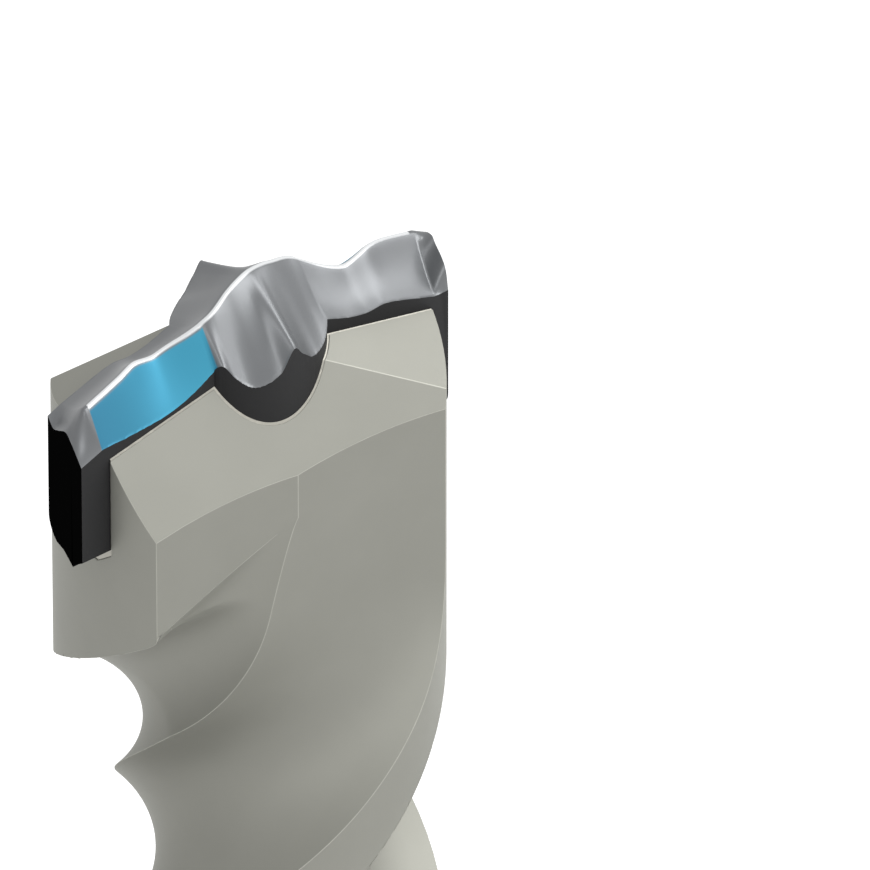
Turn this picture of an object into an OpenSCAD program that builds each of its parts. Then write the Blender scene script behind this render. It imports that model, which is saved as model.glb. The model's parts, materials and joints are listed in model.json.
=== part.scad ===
// Hammer drill bit: a two-flute steel body with a slotted hammer shank, and a
// one-piece carbide head with a round hub, brazed into a slot across the tip.
// It stands on the flat end of its shank, with +Z up the axis to the tip. The
// wings of the carbide lie along X, and the bit cuts turning from +X to +Y.

/* [Overall] */
// Length from the end of the shank to the tip
overall_len = 320; // [260:5:400]
// Diameter that the carbide head cuts
cutting_d = 25; // [24:0.25:27]
// Diameter of the steel body across its lands
body_d = 21.5; // [20.5:0.25:22]

/* [Carbide head] */
// Thickness of the two wings
plate_t = 4.4; // [3.8:0.1:4.8]
// Depth of the wings below the head's datum level
plate_depth = 6.35; // [5.5:0.05:7]
// Height of the tip above the head's datum level
tip_rise = 8.8; // [8.2:0.1:9.4]
// How far each wing's end falls back behind its cutting corner
end_relief = 0.72; // [0.3:0.02:1.2]
// Diameter of the round hub in the middle of the head
hub_d = 8.56; // [7.6:0.02:8.8]
// Chamfer under the cutting side of each wing
plate_chamfer = 1.4; // [0.8:0.1:1.8]
// Radius under the trailing side of each wing
plate_radius = 1.3; // [0.8:0.1:1.8]
// Height of the shallow arch along the middle of each wing's underside
underside_arch = 0.22; // [0.1:0.02:0.4]

/* [Steel head] */
// Distance of the crease in each milled side from the axis
crease_r = 5.95; // [5.6:0.01:6.3]
// Turn of the crease about the axis, in degrees
crease_turn = -6.9; // [-9:0.1:-6]
// Turn of the milled face in front of the crease, in degrees
front_turn = -5; // [-6:0.05:-4]
// Turn of the milled face behind the crease, in degrees
rear_turn = -5.85; // [-7:0.05:-5]
// How hollow each of the milled faces is below its chord
face_hollow = 0.165; // [0.05:0.005:0.25]
// Height of the steep roof facet on the axis, above the datum level
steep_rise = 8.44; // [8.2:0.02:8.7]
// Slope of the steep roof facet along the wings
steep_along = 0.264; // [0.1:0.01:0.4]
// Slope of the steep roof facet across the wings
steep_across = 1.664; // [1.5:0.01:1.8]
// Height of the gentle roof facet on the axis, above the datum level
gentle_rise = 5.98; // [5.7:0.02:6.2]
// Slope of the gentle roof facet along the wings
gentle_along = -0.262; // [-0.4:0.01:-0.1]
// Slope of the gentle roof facet across the wings
gentle_across = 0.554; // [0.4:0.01:0.7]

/* [Braze] */
// Gap that the braze fills beside and under the wings
braze_gap = 0.08; // [0.06:0.01:0.2]
// Gap that the braze fills round the hub
hub_gap = 0.1; // [0.06:0.01:0.3]
// How far the braze stands back from the steel's outer faces
braze_recess = 0.06; // [0.04:0.01:0.2]
// Width of the braze fillet under each wing's chamfer
braze_fillet = 0.3; // [0.2:0.05:0.6]

/* [Flutes] */
// Depth below the datum level at which each flute opens in its flat
flute_top = 4.8; // [4.5:0.1:5.4]
// Depth below the datum level at which the flutes begin to turn
helix_top = 10.4; // [9.5:0.1:11]
// Advance of one full turn of the helix
lead = 56; // [50:1:64]
// Angle that one land takes round the body once the flutes turn
land_angle = 33; // [28:1:38]
// Depth of each flute's front hollow below its chord
front_hollow = 1.85; // [1.4:0.05:2.1]
// Depth of each flute's heel hollow below its chord
heel_hollow = 0.75; // [0.4:0.05:1]
// Angle of the rib between the two hollows, before the foot of the heel chord
rib_angle = 32; // [28:1:36]
// Length over which the flutes run out above the neck
runout_len = 20; // [14:1:26]

/* [Shank] */
// Diameter of the shank
shank_d = 18; // [17.5:0.1:18.5]
// Length of the round shank
shank_len = 120; // [116:1:126]
// Length of the cone between the shank and the body
neck_cone = 5; // [3:0.5:8]
// Length of plain round body above the cone
neck_len = 10; // [8:1:22]
// How far the plain body stands proud of the lands
neck_proud = 0.05; // [0.03:0.01:0.2]
// Length of the full-size guide at the top of the shank
guide_len = 56; // [50:1:60]
// How much smaller than the guide the slotted length is, in radius
slotted_relief = 0.2; // [0.2:0.05:0.4]
// Chamfer round the end of the shank
shank_chamfer = 1.2; // [0.6:0.1:2]
// Width of the three drive grooves
drive_w = 4.8; // [4:0.1:5.4]
// Depth of the three drive grooves
drive_depth = 2.5; // [2:0.1:3]
// Length of the three drive grooves from the shank's end
drive_len = 62; // [50:1:68]
// Radius of the run-out at the end of each drive groove
drive_runout = 14; // [8:1:20]
// Directions of the three drive grooves, in degrees
drive_at = [90, 222, 318];
// Width of the two closed locking grooves
lock_w = 7; // [6:0.1:8]
// Length of the two closed locking grooves, with their round ends
lock_len = 37; // [30:1:42]
// Depth of the two closed locking grooves
lock_depth = 2.6; // [2:0.1:3]
// Distance from the shank's end to the locking grooves
lock_from = 16; // [12:1:20]

/* [Hidden] */
$fn = 96;

// Level of the head's datum, from which the head's heights and depths count
head_z = overall_len - tip_rise;
// Half sizes of the wings and the body
body_r = body_d / 2;
hub_r = hub_d / 2;
wing_h = plate_t / 2;
// Reach of a wing's cutting corner and of its trailing corner along X
cut_x = sqrt(pow(cutting_d / 2, 2) - pow(wing_h, 2));
trail_x = cut_x - end_relief;
// Start, top and end of the arch under the wings, in parts of wing_h from the
// middle to the trailing side
arch_at = [-0.45, 0.12, 0.6];
// Room past a face that a cut goes through
past = 2;
// Least sag of an arc, so that it has a centre
least_sag = 0.004;
// Side of the blocks that cut the roof facets
block = 80;
// Grid steps of the carbide's crown along and across the wings
crown_nx = 64;
crown_ny = 22;
crown_margin = 0.25;
crown_half_x = cut_x + crown_margin;
crown_half_y = hub_r + crown_margin;

// Height of the ridge above the datum, out from the axis along a wing
ridge_rise = [[0, tip_rise], [0.6, 8.74], [1.3, 8.55], [2.1, 8.17], [3.4, 7.5], [4.7, 6.62], [5.9, 6],
              [6.4, 5.9], [8, 6.24], [11.25, 5.2]];
// Sway of the ridge towards the cutting side, out from the axis along a wing
ridge_sway = [[0, 0], [1.6, 0.36], [3.2, 0.74], [5.6, 0.1], [7.2, 0.12], [8.8, 0.55], [11.25, 0.82]];
// Height of the wing's cutting edge and of its trailing edge, out from the axis
cut_edge = [[3.4, 5.05], [5.1, 3.9], [6.7, 3.25], [9.4, 2.95], [11, 2.88], [12.3, 2.3]];
trail_edge = [[3.4, 4.95], [5.2, 4.15], [6.3, 3.92], [7.5, 3.96], [9.1, 3.4], [11.6, 2.35]];
// Height of the top of a wing's end face, from the cutting side across, on
// the wing along -X and on the one along +X, which is ground fuller
end_edge = [[[-2.2, 2.25], [-0.9, 2.95], [-0.2, 3.15], [0.9, 2.35], [1.5, 1.98], [2.2, 2.3]],
            [[-2.2, 2.9], [-0.9, 4.4], [0.08, 5], [0.47, 4.8], [1.48, 4.38], [1.95, 3.8], [2.2, 2.6]]];
// Start of the end bevel, from the cutting side across
bevel_from = [[-2.2, 10.9], [-0.82, 11.25], [2.2, 10.7]];
// Height of the hub's rim, by the angle round from a wing's ridge
hub_rim = [[31, 5.05], [38, 5.4], [47.5, 4.64], [58.8, 4.03], [70, 4.13], [81.9, 4.78], [92.4, 6.15],
           [99.7, 5.5], [110.4, 4.66], [120, 4.48], [130, 4.45], [140, 4.62], [149, 4.8]];
// Sag of a wing's trailing flank below a straight slope, and the reach along
// the wing over which it grows
flank_sag = 0.3;
sag_from = 1.5;
sag_over = 2.5;

// Directions of the crease and of the two milled faces of the -Y side
crease_dir = 270 + crease_turn;
front_dir = 270 + front_turn;
rear_dir = 270 + rear_turn;
// Distance of each face's chord from the axis, and the angle from its foot to
// the body
front_half = crease_r * cos(front_dir - crease_dir);
rear_half = crease_r * cos(rear_dir - crease_dir);
front_angle = acos(front_half / body_r);
rear_angle = acos(rear_half / body_r);
// Half the depths over which a land's edge and its heel turn from straight to
// helical
helix_ease = 0.5;
heel_turn = 4.4;
// How fast the two sides of a flute part from the crease, where it opens. The
// front one is at the body's corner where the edge begins to turn.
edge_top = helix_top - helix_ease;
front_part = (body_r * sin(front_angle) - crease_r * sin(front_dir - crease_dir)) / (edge_top - flute_top);
heel_part = 1.95;
heel_part_len = 7.4;
heel_part_bend = 0.8;
// Depths over which the hollows reach their full depth
front_fade = 10.4;
heel_fade_from = 17;
heel_fade = 8;
// Depth at which the helical heel meets the straight one
heel_from = helix_top + (head_land() - land_angle) / 360 * lead;
// Level where the flutes have run out, and the segments of their skin
neck_top = shank_len + neck_cone + neck_len;
flute_len = head_z - flute_top - neck_top;
fine_len = 12;
fine_n = 14;
coarse_n = 70;
land_n = 8;
front_n = 9;
heel_n = 9;

// Angle that a land takes of the body beside the milled flats
function head_land() = 180 - front_angle - rear_angle + front_dir - rear_dir;

// A number that goes smoothly from 0 to 1 as t does
function ease(t) = let(u = min(max(t, 0), 1)) u * u * (3 - 2 * u);

// A number that leaves 0 in a soft bend of half width w and then follows t
function bend(t, w) = t <= -w ? 0 : t >= w ? t : pow(t + w, 2) / (4 * w);

// The smooth curve through points [x, y], level past both ends
function span_at(x, p, i = 0) = (i >= len(p) - 2 || x < p[i + 1][0]) ? i : span_at(x, p, i + 1);
function grade(p, i) =
    let(a = max(i - 1, 0), b = min(i + 1, len(p) - 1))
    (p[b][1] - p[a][1]) / (p[b][0] - p[a][0]);
function curve(x, p) =
    let(n = len(p) - 1, v = min(max(x, p[0][0]), p[n][0]), i = span_at(v, p),
        w = p[i + 1][0] - p[i][0], t = (v - p[i][0]) / w)
    (2 * pow(t, 3) - 3 * pow(t, 2) + 1) * p[i][1] + (pow(t, 3) - 2 * pow(t, 2) + t) * w * grade(p, i)
    + (3 * pow(t, 2) - 2 * pow(t, 3)) * p[i + 1][1] + (pow(t, 3) - pow(t, 2)) * w * grade(p, i + 1);

// Half the crown's width at reach u along a wing, and its height at that edge,
// on the cutting side and on the trailing side
function half_width(u) = max(wing_h, sqrt(max(hub_r * hub_r - u * u, 0)));
function rim_angle(u) = acos(min(u / hub_r, 1));
function cut_height(u) = half_width(u) > wing_h ? curve(rim_angle(u), hub_rim) : curve(u, cut_edge);
function trail_height(u) = half_width(u) > wing_h ? curve(180 - rim_angle(u), hub_rim) : curve(u, trail_edge);

// Height of the flanks: u is the reach along the wing, v across it, from the
// cutting side (negative) to the trailing side. The cutting flank is a straight
// slope from the ridge to the edge, and the trailing flank sags below one.
function flanks(u, v) =
    let(w = half_width(u), y = min(max(v, -w), w), yr = -curve(u, ridge_sway), zr = curve(u, ridge_rise),
        s = y < yr ? (yr - y) / (yr + w) : (y - yr) / (w - yr))
    y < yr ? zr - (zr - cut_height(u)) * s
           : zr - (zr - trail_height(u)) * s - flank_sag * ease((u - sag_from) / sag_over) * sin(180 * s);

// Height of a wing with its end bevel, which falls from the end of the ridge
// to the top of the end face
function wing_top(u, v, wing) =
    let(y = min(max(v, -wing_h), wing_h), from = curve(y, bevel_from),
        to = cut_x - end_relief * (y + wing_h) / plate_t)
    u <= from ? flanks(u, v)
              : let(t = (u - from) / (to - from)) (1 - t) * flanks(from, v) + t * curve(y, end_edge[wing]);

// Height of the whole crown above the datum
function crown(x, y) = x < 0 ? wing_top(-x, y, 0) : wing_top(x, -y, 1);

// A point at radius r and angle a
function polar(r, a) = [r * cos(a), r * sin(a)];

// Radius at angle a of the arc through p and q that sags by s towards the axis
function arc_r(a, p, q, s) =
    let(sag = max(s, least_sag), m = (p + q) / 2, half = norm(q - p) / 2,
        rad = (half * half + sag * sag) / (2 * sag),
        out = [q[1] - p[1], p[0] - q[0]] / norm(q - p) * (cross(p, q) > 0 ? 1 : -1),
        c = m + out * (rad - sag), u = polar(1, a), d = u * c)
    d - sqrt(max(d * d - (c * c - rad * rad), 0));

// Turn of the body at depth d below the datum, right-handed
function turn(d) = -bend(d - helix_top, helix_ease) * 360 / lead;
// Direction of a land's leading edge, of the next land's heel, and of the
// foot of the heel's chord
function edge_dir(d) = front_dir - front_angle + turn(d);
function heel_dir(d) = rear_dir + rear_angle - bend(d - heel_from, heel_turn) * 360 / lead;
function foot_dir(d) = heel_dir(d) - rear_angle;
// Where the milled faces of the head meet the body and each other
front_corner = polar(body_r, front_dir - front_angle);
crease = polar(crease_r, crease_dir);
rear_corner = polar(body_r, rear_dir + rear_angle);
// The two sides of the front hollow at depth d: on the front face, and from
// edge_top down on the land's leading edge, and on the rib at the other side
function front_side(d) =
    let(on = crease + polar((d - flute_top) * front_part, front_dir - 90), a = atan2(on[1], on[0]))
    d < edge_top ? polar(arc_r(a, front_corner, crease, face_hollow), a) : polar(body_r, edge_dir(d));
function rib_side(d) =
    let(open = rear_half * tan(crease_dir - rear_dir)
            - heel_part * pow(max(d - flute_top, 0) / heel_part_len, heel_part_bend),
        a = max(atan(open / rear_half), -rib_angle))
    polar(arc_r(rear_dir + a, crease, rear_corner, face_hollow), foot_dir(d) + a);

// Radius of the flute at direction a and depth d
function flute_r(a, d) =
    let(p = front_side(d), q = rib_side(d), h = polar(body_r, heel_dir(d)),
        pa = (atan2(p[1], p[0]) + 720) % 360, qa = (atan2(q[1], q[0]) + 720) % 360,
        b = (a + 720) % 360, after_p = (b - pa + 540) % 360 - 180, after_q = (b - qa + 540) % 360 - 180,
        face = face_hollow * pow(norm(h - q) / norm(rear_corner - crease), 2))
    after_q >= 0 ? arc_r(a, q, h, face + heel_hollow * ease((d - heel_fade_from) / heel_fade))
    : after_p <= 0 ? min(body_r, arc_r(a, front_corner, crease, face_hollow))
    : arc_r(a, p, q, front_hollow * ease((d - flute_top) / front_fade));

// One ring of the body's skin at depth d: a land, a front hollow and a heel,
// and the same again after half a turn
function ring(d) =
    let(t = ease((d - (flute_len + flute_top - runout_len)) / runout_len),
        heel = heel_dir(d) - 180, edge = edge_dir(d), q = rib_side(d),
        rib = edge + ((atan2(q[1], q[0]) - edge) % 360 + 360) % 360, next = heel_dir(d),
        at = [for (i = [0 : land_n - 1]) heel + (edge - heel) * i / land_n,
              for (i = [0 : front_n - 1]) edge + (rib - edge) * i / front_n,
              for (i = [0 : heel_n - 1]) rib + (next - rib) * i / heel_n],
        r = [for (i = [0 : len(at) - 1])
                let(cut = i <= land_n ? body_r : min(body_r, flute_r(at[i], d))) cut + (body_r - cut) * t])
    [for (k = [0, 180]) for (i = [0 : len(at) - 1]) [r[i] * cos(at[i] + k), r[i] * sin(at[i] + k), head_z - d]];

// Everything over the plane z = rise + along x + across y
module over_plane(rise, along, across) {
    steep = acos(1 / norm([along, across, 1]));
    translate([0, 0, head_z + rise])
        rotate([0, steep, atan2(-across, -along)])
            translate([-block / 2, -block / 2, 0])
                cube(block);
}

// Everything over the four facets of the roof, lowered by drop
module over_roof(drop = 0) {
    for (k = [0, 180])
        rotate(k) {
            over_plane(steep_rise - drop, steep_along, steep_across);
            over_plane(gentle_rise - drop, gentle_along, gentle_across);
        }
}

// Cross-section of a wing below its crown, grown by gap. The chamfer is on the
// cutting side and the radius on the trailing side.
module wing_section(gap, chamfer) {
    low = -plate_depth - gap;
    side = wing_h + gap;
    top = tip_rise + past;
    difference() {
        translate([-side, low]) square([2 * side, top - low]);
        polygon([[-side - past, low - past], [-side - past, low + chamfer + past],
                 [-side + chamfer + past, low - past]]);
        difference() {
            translate([side - plate_radius, low - past]) square([plate_radius + past, plate_radius + past]);
            translate([side - plate_radius, low + plate_radius]) circle(plate_radius);
        }
        polygon([[wing_h * arch_at[0], low - least_sag], [wing_h * arch_at[1], low + underside_arch],
                 [wing_h * arch_at[2], low - least_sag]]);
    }
}

// Both wings and the hub without their crown, grown by the two gaps
module carbide_blank(gap = 0, round_gap = 0, chamfer = plate_chamfer, reach = 0) {
    for (k = [0, 180])
        rotate(k)
            intersection() {
                translate([0, 0, head_z])
                    rotate([90, 0, -90])
                        linear_extrude(cut_x + reach + past)
                            mirror([1, 0]) wing_section(gap, chamfer);
                translate([0, 0, head_z - plate_depth - past])
                    linear_extrude(plate_depth + tip_rise + 2 * past)
                        polygon([[0, -wing_h - past], [-cut_x - reach, -wing_h - (reach > 0 ? past : 0)],
                                 [-trail_x - reach, wing_h + (reach > 0 ? past : 0)], [0, wing_h + past]]);
            }
    translate([0, 0, head_z - plate_depth - gap])
        cylinder(r = hub_r + round_gap, h = plate_depth + gap + tip_rise + past);
}

// Solid under the crown surface, on a grid of squares cut into triangles
module crown_solid() {
    nx = crown_nx;
    ny = crown_ny;
    low = head_z - plate_depth - past / 2;
    top = [for (i = [0 : nx]) for (j = [0 : ny])
              let(x = crown_half_x * (2 * i / nx - 1), y = crown_half_y * (2 * j / ny - 1))
              [x, y, head_z + crown(x, y)]];
    base = [for (sx = [-1, 1]) for (sy = [-1, 1]) [sx * crown_half_x, sy * crown_half_y, low]];
    n = len(top);
    quads = [for (i = [0 : nx - 1]) for (j = [0 : ny - 1])
                let(a = i * (ny + 1) + j, b = a + ny + 1) each [[a, a + 1, b + 1], [a, b + 1, b]]];
    side_a = concat([n], [n + 1], [for (j = [ny : -1 : 0]) j]);
    side_b = concat([n + 3], [n + 2], [for (j = [0 : ny]) nx * (ny + 1) + j]);
    side_c = concat([n + 2], [n], [for (i = [0 : nx]) i * (ny + 1)]);
    side_d = concat([n + 1], [n + 3], [for (i = [nx : -1 : 0]) i * (ny + 1) + ny]);
    polyhedron(concat(top, base), concat(quads, [side_a, side_b, side_c, side_d, [n, n + 2, n + 3, n + 1]]));
}

// The bar with its milled flats and its flutes, as one skin of rings from
// over the tip down into the plain body
module fluted_bar() {
    depth = concat([for (i = [0 : fine_n]) flute_top + fine_len * i / fine_n],
                   [for (i = [1 : coarse_n]) flute_top + fine_len + (flute_len - fine_len) * i / coarse_n]);
    over = [0, 0, flute_top + tip_rise + past];
    rings = concat([[for (p = ring(flute_top)) p + over]], [for (d = depth) ring(d)],
                   [[for (p = ring(flute_top + flute_len)) p - [0, 0, past]]]);
    m = len(rings[0]);
    n = len(rings);
    skin = [for (j = [0 : n - 2]) for (i = [0 : m - 1])
               let(k = (i + 1) % m, a = j * m + i, b = j * m + k, c = a + m, e = b + m)
               each [[a, b, c], [b, e, c]]];
    top = [for (i = [m - 1 : -1 : 0]) i];
    bottom = [for (i = [0 : m - 1]) (n - 1) * m + i];
    polyhedron([for (r = rings) each r], concat(skin, [top, bottom]));
}

// A drive groove, open at the shank's end, that runs out in an arc
module drive_groove() {
    floor_x = shank_d / 2 - drive_depth;
    translate([floor_x, -drive_w / 2, -past])
        cube([shank_d, drive_w, drive_len - drive_runout + past]);
    translate([floor_x + drive_runout, drive_w / 2, drive_len - drive_runout])
        rotate([90, 0, 0])
            cylinder(r = drive_runout, h = drive_w);
}

// A closed locking groove with round ends
module lock_groove() {
    x = shank_d / 2 - lock_depth;
    for (z = [lock_w / 2, lock_len - lock_w / 2])
        translate([x, 0, lock_from + z])
            rotate([0, 90, 0])
                cylinder(d = lock_w, h = shank_d);
    translate([x, -lock_w / 2, lock_from + lock_w / 2])
        cube([shank_d, lock_w, lock_len - lock_w]);
}

// The round shank, the cone and the plain neck
module shank() {
    slotted_d = shank_d - 2 * slotted_relief;
    difference() {
        union() {
            cylinder(d1 = slotted_d - 2 * shank_chamfer, d2 = slotted_d, h = shank_chamfer);
            translate([0, 0, shank_chamfer]) cylinder(d = slotted_d, h = shank_len - shank_chamfer);
            translate([0, 0, shank_len - guide_len]) cylinder(d = shank_d, h = guide_len);
            translate([0, 0, shank_len]) cylinder(d1 = shank_d, d2 = body_d + 2 * neck_proud, h = neck_cone);
            translate([0, 0, shank_len + neck_cone]) cylinder(d = body_d + 2 * neck_proud, h = neck_len);
        }
        for (a = drive_at) rotate(a) drive_groove();
        for (a = [0, 180]) rotate(a) lock_groove();
    }
}

module steel_body() {
    color([0.69, 0.69, 0.66])
    difference() {
        union() {
            fluted_bar();
            shank();
        }
        over_roof();
        carbide_blank(braze_gap, hub_gap, plate_chamfer - braze_fillet, body_d);
    }
}

module carbide_plate() {
    color([0.2, 0.2, 0.21])
    intersection() {
        carbide_blank();
        crown_solid();
    }
}

module braze_seam() {
    color([0.82, 0.8, 0.74])
    difference() {
        intersection() {
            carbide_blank(braze_gap, hub_gap, plate_chamfer - braze_fillet, body_d);
            translate([0, 0, head_z - plate_depth - past])
                cylinder(r = body_r - braze_recess, h = plate_depth + tip_rise + 2 * past);
        }
        over_roof(braze_recess);
        carbide_blank();
    }
}

steel_body();
carbide_plate();
braze_seam();
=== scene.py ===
"""Looks of the hammer drill bit: its steel body, its carbide head and its braze.

Every length in the classes is in millimetres, as in the part's source, and is
turned to metres where a mesh is made. z = 0 is the end of the shank, the wings
of the carbide head lie along X, and the bit cuts turning from +X to +Y.
"""

import json
import logging
import math
from collections.abc import Iterator
from contextlib import contextmanager
from dataclasses import dataclass, field
from enum import Enum

import bmesh
import bpy
import numpy as np
from bmesh.types import BMEdge, BMesh
from bpy.types import Material, Mesh, Node, NodeSocket, NodeTree, Object
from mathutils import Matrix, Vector

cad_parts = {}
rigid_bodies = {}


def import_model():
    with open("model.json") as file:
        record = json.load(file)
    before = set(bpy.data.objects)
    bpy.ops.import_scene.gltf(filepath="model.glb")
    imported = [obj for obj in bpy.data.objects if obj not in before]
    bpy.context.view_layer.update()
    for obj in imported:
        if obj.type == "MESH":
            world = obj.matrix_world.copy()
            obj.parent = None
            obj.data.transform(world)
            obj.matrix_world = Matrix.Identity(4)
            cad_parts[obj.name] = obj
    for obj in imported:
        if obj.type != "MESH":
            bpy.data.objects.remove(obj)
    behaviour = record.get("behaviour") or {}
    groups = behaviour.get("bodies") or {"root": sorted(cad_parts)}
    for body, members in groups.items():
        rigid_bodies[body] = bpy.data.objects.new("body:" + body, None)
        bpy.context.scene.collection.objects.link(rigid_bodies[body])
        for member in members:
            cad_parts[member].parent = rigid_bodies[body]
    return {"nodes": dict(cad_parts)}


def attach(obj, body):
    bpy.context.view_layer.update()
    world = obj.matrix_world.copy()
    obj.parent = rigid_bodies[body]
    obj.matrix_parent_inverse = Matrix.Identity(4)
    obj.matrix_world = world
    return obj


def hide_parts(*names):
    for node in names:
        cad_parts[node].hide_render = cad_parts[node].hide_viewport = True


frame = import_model()

log = logging.getLogger("hammer_drill_bit")

MM = 0.001
Knots = tuple[tuple[float, float], ...]
Span = tuple[float, float, float, float]

WHITE = (1.0, 1.0, 1.0, 1.0)
# Noise of a colour drift is stretched from this span, so that both colours show in full
DRIFT: Span = (0.35, 0.65, 0.0, 1.0)


def ease(t: np.ndarray) -> np.ndarray:
    """A number that goes smoothly from 0 to 1 as t does: 3t^2 - 2t^3."""
    u = np.clip(t, 0.0, 1.0)
    return u * u * (3.0 - 2.0 * u)


def bend(t: np.ndarray, w: float) -> np.ndarray:
    """A number that leaves 0 in a parabola of half width w and then follows t."""
    return np.where(t <= -w, 0.0, np.where(t >= w, t, (t + w) ** 2 / (4.0 * w)))


def curve(x: np.ndarray, knots: Knots) -> np.ndarray:
    """The smooth curve through points, level past both ends.

    Each span is a cubic Hermite, and the slope at a point is that of the chord
    between its two neighbours.

    Args:
        x: where the curve is read.
        knots: points (x, y), in rising order of x.

    Returns:
        The heights of the curve at x.
    """
    xs, ys = np.asarray(knots, float).T
    index = np.arange(len(xs))
    before, after = np.maximum(index - 1, 0), np.minimum(index + 1, len(xs) - 1)
    grade = (ys[after] - ys[before]) / (xs[after] - xs[before])
    v = np.clip(x, xs[0], xs[-1])
    i = np.clip(np.searchsorted(xs, v, side="right") - 1, 0, len(xs) - 2)
    w = xs[i + 1] - xs[i]
    t = (v - xs[i]) / w
    return (
        (2 * t**3 - 3 * t**2 + 1) * ys[i]
        + (t**3 - 2 * t**2 + t) * w * grade[i]
        + (3 * t**2 - 2 * t**3) * ys[i + 1]
        + (t**3 - t**2) * w * grade[i + 1]
    )


def polar(r: np.ndarray, a: np.ndarray) -> np.ndarray:
    """Points at radius r and angle a in degrees, with x and y on the last axis."""
    turn = np.radians(a)
    return np.stack([r * np.cos(turn), r * np.sin(turn)], axis=-1)


def linear(colour: str) -> tuple[float, float, float, float]:
    """The linear colour of an sRGB hex value such as "#a0a09a"."""
    parts = [int(colour[i : i + 2], 16) / 255.0 for i in (1, 3, 5)]
    r, g, b = (c / 12.92 if c <= 0.04045 else ((c + 0.055) / 1.055) ** 2.4 for c in parts)
    return (r, g, b, 1.0)


def make_piece(name: str, points: np.ndarray, faces: list) -> Object:
    """A mesh object at the origin, still drawn in millimetres.

    Cuts and joins are surer at that scale, so in_metres() comes last.

    Args:
        name: the piece's name.
        points: one row of x, y, z for each vertex.
        faces: rows of vertex numbers, counter-clockwise from outside.

    Returns:
        The object, linked to the scene.
    """
    mesh = bpy.data.meshes.new(name)
    mesh.from_pydata(points.tolist(), [], faces)
    mesh.update()
    piece = bpy.data.objects.new(name, mesh)
    bpy.context.scene.collection.objects.link(piece)
    return piece


def bridged(name: str, low: np.ndarray, high: np.ndarray) -> Object:
    """A closed solid between two outlines with the same number of corners.

    Args:
        name: the object's name.
        low: corners of the first outline, counter-clockwise seen from the
            second, as rows of three.
        high: the matching corners of the second outline.

    Returns:
        The solid, whose sides are the quads between neighbouring corners.
    """
    n = len(low)
    i = np.arange(n)
    k = (i + 1) % n
    sides = np.stack([i, k, k + n, i + n], axis=1).tolist()
    return make_piece(name, np.concatenate([low, high]), sides + [i[::-1].tolist(), (i + n).tolist()])


def finished(piece: Object) -> None:
    """Puts what a piece's modifiers make into its mesh, and takes them off."""
    graph = bpy.context.evaluated_depsgraph_get()
    mesh = bpy.data.meshes.new_from_object(piece.evaluated_get(graph))
    piece.modifiers.clear()
    old, piece.data = piece.data, mesh
    mesh.name = piece.name
    bpy.data.meshes.remove(old)


def corners(mesh: Mesh) -> np.ndarray:
    """The vertices of a mesh as rows of x, y, z."""
    points = np.zeros(len(mesh.vertices) * 3)
    mesh.vertices.foreach_get("co", points)
    return points.reshape(-1, 3)


def in_metres(piece: Object) -> None:
    """Turns a piece's mesh from millimetres to metres."""
    piece.data.vertices.foreach_set("co", (corners(piece.data) * MM).ravel())
    piece.data.update()


@contextmanager
def editing(mesh: Mesh) -> Iterator[BMesh]:
    """A mesh opened for edits, which are put back when the block ends."""
    shape = bmesh.new()
    shape.from_mesh(mesh)
    yield shape
    shape.to_mesh(mesh)
    shape.free()


def turned_out(piece: Object) -> None:
    """Points the faces of a closed piece outwards."""
    with editing(piece.data) as shape:
        bmesh.ops.recalc_face_normals(shape, faces=shape.faces)


def smooth_below(mesh: Mesh, angle: float) -> None:
    """Shades a mesh smooth, and keeps edges sharper than angle degrees crisp."""
    mesh.polygons.foreach_set("use_smooth", np.ones(len(mesh.polygons), bool))
    mesh.set_sharp_from_angle(angle=math.radians(angle))
    mesh.update()


def discard(piece: Object) -> None:
    """Takes an object and its mesh out of the file."""
    mesh = piece.data
    bpy.data.objects.remove(piece)
    bpy.data.meshes.remove(mesh)


class Joining(Enum):
    """How a second solid changes a first one."""

    CUT = "DIFFERENCE"
    ADD = "UNION"
    KEEP = "INTERSECT"


def carve(piece: Object, tool: Object, way: Joining) -> None:
    """Cuts, adds to or trims a closed piece with a closed tool, and takes the tool away."""
    step = piece.modifiers.new("carve", "BOOLEAN")
    step.operation = way.value
    step.solver = "MANIFOLD"
    step.object = tool
    finished(piece)
    discard(tool)


@dataclass(frozen=True)
class Deburring:
    """How a brush breaks the sharp edges of a piece, by a narrow flat on each."""

    # How far the flat reaches from the edge
    width: float = 0.03
    # Edges sharper than this many degrees are broken
    from_angle: float = 7.6
    # The same for edges along the axis, such as the crease
    upright_angle: float = 6.9
    # The same for level edges, where the rings of a skin meet
    level_angle: float = 20.0
    # An edge is along the axis if this share of its length or more is height
    upright_share: float = 0.995
    # Vertices nearer than this become one first
    merge: float = 0.012

    def limit(self, run: Vector) -> float:
        """The angle in degrees from which an edge with this run is broken."""
        if abs(run.z) > self.upright_share * run.length:
            return self.upright_angle
        return self.level_angle if abs(run.z) < self.merge else self.from_angle

    def apply(self, piece: Object, material: int) -> None:
        """Breaks the piece's edges, and gives the flats its material of that number."""
        with editing(piece.data) as shape:
            bmesh.ops.remove_doubles(shape, verts=shape.verts, dist=self.merge)
            bmesh.ops.dissolve_degenerate(shape, dist=self.merge, edges=shape.edges)
            weight = shape.edges.layers.float.new("bevel_weight_edge")
            for edge in shape.edges:
                limit = math.radians(self.limit(edge.verts[0].co - edge.verts[1].co))
                if len(edge.link_faces) == 2 and edge.calc_face_angle(0.0) > limit:
                    edge[weight] = 1.0
        step = piece.modifiers.new("soften", "BEVEL")
        step.width = self.width
        step.segments = 1
        step.limit_method = "WEIGHT"
        step.use_clamp_overlap = False
        step.material = material
        finished(piece)


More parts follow.
